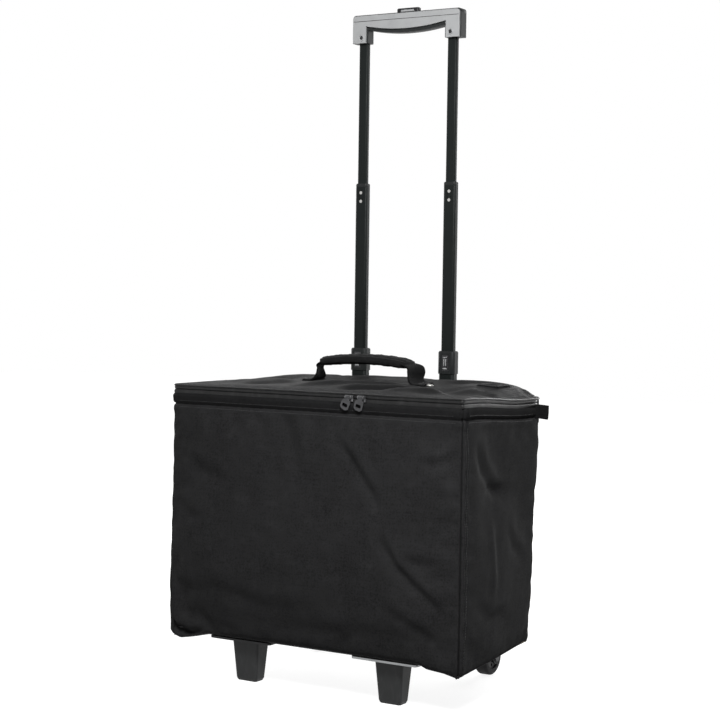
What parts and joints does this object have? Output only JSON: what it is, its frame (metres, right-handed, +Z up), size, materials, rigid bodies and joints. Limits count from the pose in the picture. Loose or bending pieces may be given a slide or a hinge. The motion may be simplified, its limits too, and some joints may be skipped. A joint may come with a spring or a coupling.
{
  "type": "bowling ball bag",
  "caption": "Soft black wheeled case for bowling balls with a zipped domed lid, padded carry handle, telescopic trolley handle, front feet and rear wheels.",
  "frame": {"origin": "on the ground under the middle of the whole object, wheels and trolley handle included", "axes": "+X to the right side seen from the front, -Y towards the front panel, +Z up"},
  "size_m": [0.512, 0.297, 0.993],
  "materials": {
    "shell_fabric": "matt black woven polyester over thin foam",
    "base_fabric": "black coated polyester",
    "lining_fabric": "dark grey nylon lining",
    "board": "black polyethylene sheet",
    "foam": "dark grey closed-cell foam, covered",
    "zip_tape": "black zip tape with a black nylon coil",
    "webbing": "black woven webbing",
    "piping": "black vinyl piping with a soft shine",
    "grip_sleeve": "ribbed dark padded sleeve",
    "black_plastic": "black moulded plastic",
    "foot_plastic": "dark grey moulded plastic",
    "gloss_black": "glossy black plastic",
    "black_anodised": "satin black aluminium tube",
    "bright_steel": "plated steel",
    "grey_metal": "dark plated zinc",
    "natural_plastic": "natural acetal",
    "silver_plastic": "silver painted plastic",
    "tyre": "black polyurethane tyre",
    "hub_plastic": "dark grey plastic hub"
  },
  "bodies": {
    "case": {"front_panel": "shell_fabric", "left_panel": "shell_fabric", "right_panel": "shell_fabric", "back_panel": "shell_fabric", "bottom_panel": "base_fabric", "lining": "lining_fabric", "base_board": "board", "back_board": "board", "ball_cup_left": "foam", "ball_cup_right": "foam", "zip_lower_tape": "zip_tape", "hinge_band": "shell_fabric", "zip_tabs": "webbing", "upper_bracket": "black_plastic", "lower_bracket": "black_plastic", "bracket_screws": "bright_steel", "outer_tube_left": "black_anodised", "outer_tube_right": "black_anodised", "outer_collar_left": "black_plastic", "outer_collar_right": "black_plastic", "lock_plates": "grey_metal", "foot_left": "foot_plastic", "foot_right": "foot_plastic", "foot_plate_left": "gloss_black", "foot_plate_right": "gloss_black", "foot_screws": "bright_steel", "wheel_housing_left": "black_plastic", "wheel_housing_right": "black_plastic", "wheel_axles": "bright_steel"},
    "lid": {"lid_panel": "shell_fabric", "handle_plate": "board", "lid_piping": "piping", "zip_upper_tape": "zip_tape", "handle_strap": "webbing", "handle_grip": "grip_sleeve", "handle_rivets": "bright_steel", "card_pocket": "base_fabric"},
    "slider_left": {"zip_slider_left": "grey_metal"},
    "slider_right": {"zip_slider_right": "grey_metal"},
    "pull_left": {"zip_pull_left": "grey_metal"},
    "pull_right": {"zip_pull_right": "grey_metal"},
    "middle_stage": {"middle_tube_left": "black_anodised", "middle_tube_right": "black_anodised", "middle_collars": "black_plastic", "collar_rivets": "bright_steel", "middle_plugs": "natural_plastic"},
    "upper_stage": {"upper_tube_left": "black_anodised", "upper_tube_right": "black_anodised", "upper_plugs": "natural_plastic", "grip_core": "black_plastic", "grip_front_shell": "silver_plastic", "grip_rear_shell": "silver_plastic", "grip_screws": "bright_steel", "button_spring": "bright_steel"},
    "release": {"push_button": "silver_plastic", "push_rods": "bright_steel"},
    "wheel_left": {"tyre_left": "tyre", "hub_left": "hub_plastic"},
    "wheel_right": {"tyre_right": "tyre", "hub_right": "hub_plastic"}
  },
  "joints": [
    {"name": "lid_hinge", "type": "hinge", "parent": "case", "child": "lid", "pos_m": [0, 0.1025, 0.4265], "axis": [-1, 0, 0], "range_deg": [0, 50]},
    {"name": "slider_left_run", "type": "slide", "parent": "case", "child": "slider_left", "axis": [1, 0, 0], "range_m": [-0.285, 0]},
    {"name": "slider_right_run", "type": "slide", "parent": "case", "child": "slider_right", "axis": [1, 0, 0], "range_m": [0, 0.14]},
    {"name": "pull_left_swing", "type": "hinge", "parent": "slider_left", "child": "pull_left", "pos_m": [0.064, -0.1463, 0.42275], "axis": [-1, 0, 0], "range_deg": [0, 150]},
    {"name": "pull_right_swing", "type": "hinge", "parent": "slider_right", "child": "pull_right", "pos_m": [0.084, -0.1463, 0.42275], "axis": [-1, 0, 0], "range_deg": [0, 150]},
    {"name": "middle_stage_slide", "type": "slide", "parent": "case", "child": "middle_stage", "axis": [0, 0, 1], "range_m": [-0.2465, 0]},
    {"name": "upper_stage_slide", "type": "slide", "parent": "middle_stage", "child": "upper_stage", "axis": [0, 0, 1], "range_m": [-0.2125, 0]},
    {"name": "button_press", "type": "slide", "parent": "upper_stage", "child": "release", "axis": [0, 0, 1], "range_m": [-0.005, 0], "stiffness_N_per_m": 400, "springref_m": 0.004, "deforming": ["button_spring"]},
    {"name": "wheel_left_spin", "type": "hinge", "parent": "case", "child": "wheel_left", "pos_m": [-0.148, 0.1215, 0.027], "axis": [1, 0, 0], "continuous": true},
    {"name": "wheel_right_spin", "type": "hinge", "parent": "case", "child": "wheel_right", "pos_m": [0.148, 0.1215, 0.027], "axis": [1, 0, 0], "continuous": true}
  ]
}
